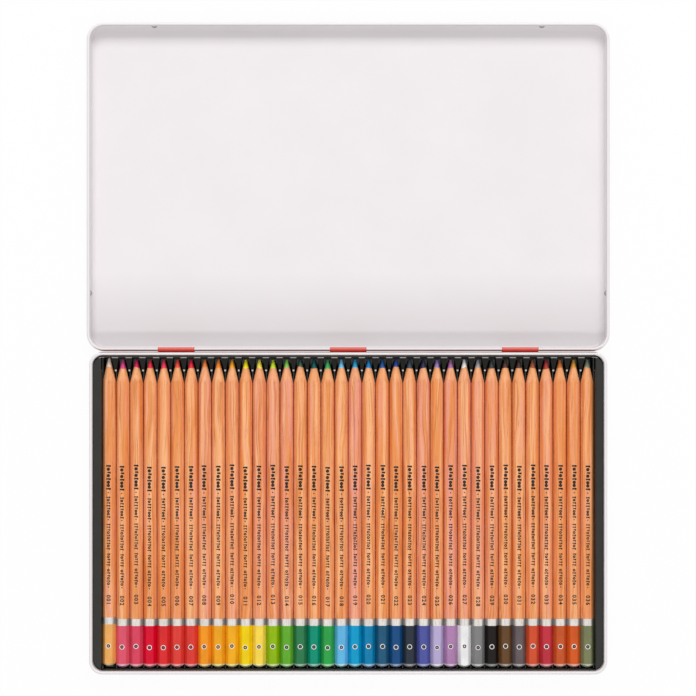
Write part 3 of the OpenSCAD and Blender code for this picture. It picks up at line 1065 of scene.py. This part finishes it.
class PENCILTIN_OT_pencils(bpy.types.Operator):
    """Build the pencils: casing, core, foil band, lacquered end and print"""

    bl_idname = "penciltin.pencils"
    bl_label = "Pencils"

    def execute(self, context):
        s = context.scene.pencil_tin.pencil
        length, apothem, _ = pencil_facts(s)
        dice = random.Random(s.seed)
        deselect_all()
        blank = pencil_blank(s)
        parts = {
            "casing": cut_piece(blank, "casing", s.dip, length - s.bare_core),
            "band": cut_piece(blank, "band", s.dip + 0.02 * MM, s.dip + s.band),
            "end": cut_piece(blank, "end", None, s.dip),
        }
        parts["core"] = core_tip(s)
        swell(parts["band"], s.coat * 0.8, apothem)
        swell(parts["end"], s.coat, apothem)
        marks = imprint_marks(s)
        ring = end_ring(s)
        for part in parts.values():
            smooth(part, 30)
        for number, node in enumerate(PENCILS, 1):
            low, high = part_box(node)
            push = s.first_forward if number == 1 else dice.uniform(-1, 1) * s.play
            place = Vector(((low.x + high.x) / 2, low.y + s.coat + push, (low.z + high.z) / 2))
            print_push = Vector((dice.uniform(-0.25, 0.25), dice.uniform(-0.7, 0.7), 0)) * MM
            finish = {"casing": "cedar_grain", "band": "silver_foil", "end": f"dip_{number:02d}",
                      "core": f"wax_{number:02d}"}
            slots = {"casing": "cedar", "band": "foil", "end": f"lacquer_{number:02d}",
                     "core": f"lacquer_{number:02d}"}
            for kind, part in parts.items():
                obj = copy_of(part, f"{node}_{kind}")
                obj.data.materials.clear()
                obj.data.materials.append(bpy.data.materials[finish[kind]])
                if kind == "casing":
                    wander_edge(obj, s, dice)
                move_mesh(obj, place)
                stand_in(obj, node + "_body", *([node] if kind == "casing" else []), slot=slots[kind])
            printed = copy_of(marks, f"{node}_print")
            plate = number_plate(number, s)
            deselect_all()
            plate.select_set(True)
            printed.select_set(True)
            bpy.context.view_layer.objects.active = printed
            bpy.ops.object.join()
            thicken_up(printed, 0.02 * MM)
            printed.data.materials.clear()
            printed.data.materials.append(bpy.data.materials["print_dark"])
            move_mesh(printed, place + print_push)
            stand_in(printed, node + "_body")
            badge = copy_of(ring, f"{node}_ring")
            move_mesh(badge, place + print_push * 0.6)
            stand_in(badge, node + "_body")
        for spare in (blank, marks, ring, *parts.values()):
            bpy.data.objects.remove(spare)
        return {"FINISHED"}


# ---- the stage ----


def table_white(glow):
    """A white table that keeps a soft shadow but hardly any colour cast."""
    n = Nodes("table_white")
    paper = n.ramp(n.noise(n.place, 6.0), [(0.3, (0.90, 0.90, 0.90)), (0.7, (0.92, 0.92, 0.92))])
    n.finish(Base_Color=paper, Roughness=0.9, Specular_IOR_Level=0.1)
    white = n.add("ShaderNodeEmission", {"Color": (1, 1, 1, 1), "Strength": 1.0})
    path = n.add("ShaderNodeLightPath")
    seen = n.maths("MAXIMUM", path.outputs["Is Camera Ray"], path.outputs["Is Glossy Ray"])
    seen = n.maths("MAXIMUM", seen, path.outputs["Is Transmission Ray"])
    contact = n.add("ShaderNodeAmbientOcclusion", {"Distance": 3 * MM}, samples=8).outputs["AO"]
    share = n.maths("MULTIPLY", n.maths("MULTIPLY", seen, glow), contact)
    blend = n.add("ShaderNodeMixShader", {"Fac": share, 1: n.shader.outputs[0], 2: white.outputs[0]})
    n.tree.links.new(blend.outputs[0], n.tree.nodes["Material Output"].inputs["Surface"])
    return n.material


def area_light(name, place, aim, size, watts):
    data = bpy.data.lights.new(name, "AREA")
    data.shape = "RECTANGLE"
    data.size, data.size_y = size
    data.energy = watts
    lamp = bpy.data.objects.new(name, data)
    lamp.location = place
    lamp.rotation_euler = (Vector(aim) - Vector(place)).to_track_quat("-Z", "Y").to_euler()
    bpy.context.scene.collection.objects.link(lamp)
    return lamp


class PENCILTIN_OT_stage(bpy.types.Operator):
    """Set up the table, the lights and the camera"""

    bl_idname = "penciltin.stage"
    bl_label = "Stage"

    def execute(self, context):
        s = context.scene.pencil_tin.stage
        deselect_all()
        bpy.ops.mesh.primitive_plane_add(size=6, location=(0, 0, -0.0002))
        table = bpy.context.object
        table.name = "table"
        table.data.materials.append(table_white(s.table_glow))
        area_light("far_side", (0.15, 1.6, 1.6), (0, 0, 0), (1.8, 0.9), s.far_light)
        area_light("near_strip", (0, -1.45, 1.8), (0, -0.05, 0), (1.7, 0.2), s.near_light)
        world = bpy.data.worlds.new("studio")
        world.use_nodes = True
        world.node_tree.nodes["Background"].inputs["Color"].default_value = (1, 1, 1, 1)
        world.node_tree.nodes["Background"].inputs["Strength"].default_value = s.sky
        context.scene.world = world
        data = bpy.data.cameras.new("camera")
        data.sensor_width = 36.0
        pencil_low, pencil_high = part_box(PENCILS[0])
        pencil_z = (pencil_low.z + pencil_high.z) / 2
        data.lens = data.sensor_width * (s.camera_height - pencil_z) / s.view_width
        camera = bpy.data.objects.new("camera", data)
        camera.location = (-0.10 * MM, -0.35 * MM, s.camera_height)
        context.scene.collection.objects.link(camera)
        context.scene.camera = camera
        context.scene.view_settings.view_transform = "Standard"
        return {"FINISHED"}


class PENCILTIN_OT_finishes(bpy.types.Operator):
    """Make the materials that several pieces share"""

    bl_idname = "penciltin.finishes"
    bl_label = "Finishes"

    def execute(self, context):
        settings = context.scene.pencil_tin
        c = settings.colours
        first, second = (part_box(n) for n in PENCILS[:2])
        axis_z, reach = (first[0].z + first[1].z) / 2, (first[1].z - first[0].z) / 2
        red_tinplate("tin_red", c.red, 0.28)
        red_tinplate("strap_red", c.strap, 0.24)
        white_tinplate(c.white, c.red, settings.tin)
        tray_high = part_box("pencil_tray")[1]
        tray = settings.tray
        pitch = second[0].x - first[0].x
        tray_plastic("black_plastic", c.plastic, 1.0, tray_high, pitch, tray)
        # A duller copy of the black plastic for the teeth: its weaker reflection is painted shade.
        tray_plastic("shaded_tooth_plastic", c.plastic, 0.3, tray_high, pitch, tray)
        shoulder_y = first[1].y - settings.pencil.cone
        cedar_wood(c.cedar, pitch, axis_z, reach, shoulder_y)
        foil(axis_z, reach)
        for number, (code, core_code) in enumerate(SHADES, 1):
            lacquer(number, code, first[0].y, axis_z, reach)
            core_wax(number, core_code)
        printing_ink("print_dark", c.ink)
        printing_ink("print_pale", (0.86, 0.82, 0.80))
        return {"FINISHED"}


class PENCILTIN_PT_panel(bpy.types.Panel):
    """Buttons for the tin's pieces"""

    bl_idname = "PENCILTIN_PT_panel"
    bl_label = "Pencil tin"
    bl_space_type = "VIEW_3D"
    bl_region_type = "UI"
    bl_category = "Pencil tin"

    def draw(self, context):
        for operator in OPERATORS:
            self.layout.operator(operator.bl_idname)


OPERATORS = (
    PENCILTIN_OT_finishes,
    PENCILTIN_OT_base,
    PENCILTIN_OT_lid,
    PENCILTIN_OT_straps,
    PENCILTIN_OT_tray,
    PENCILTIN_OT_pencils,
    PENCILTIN_OT_stage,
)
CLASSES = (TinSizes, TraySizes, PencilSizes, TinColours, StageSizes, TinSettings, *OPERATORS,
           PENCILTIN_PT_panel)


def register():
    for cls in CLASSES:
        bpy.utils.register_class(cls)
    bpy.types.Scene.pencil_tin = PointerProperty(type=TinSettings)


def unregister():
    del bpy.types.Scene.pencil_tin
    for cls in reversed(CLASSES):
        bpy.utils.unregister_class(cls)


def main():
    register()
    bpy.ops.penciltin.finishes()
    bpy.ops.penciltin.base()
    bpy.ops.penciltin.lid()
    bpy.ops.penciltin.straps()
    bpy.ops.penciltin.tray()
    bpy.ops.penciltin.pencils()
    bpy.ops.penciltin.stage()


if __name__ == "__main__":
    main()
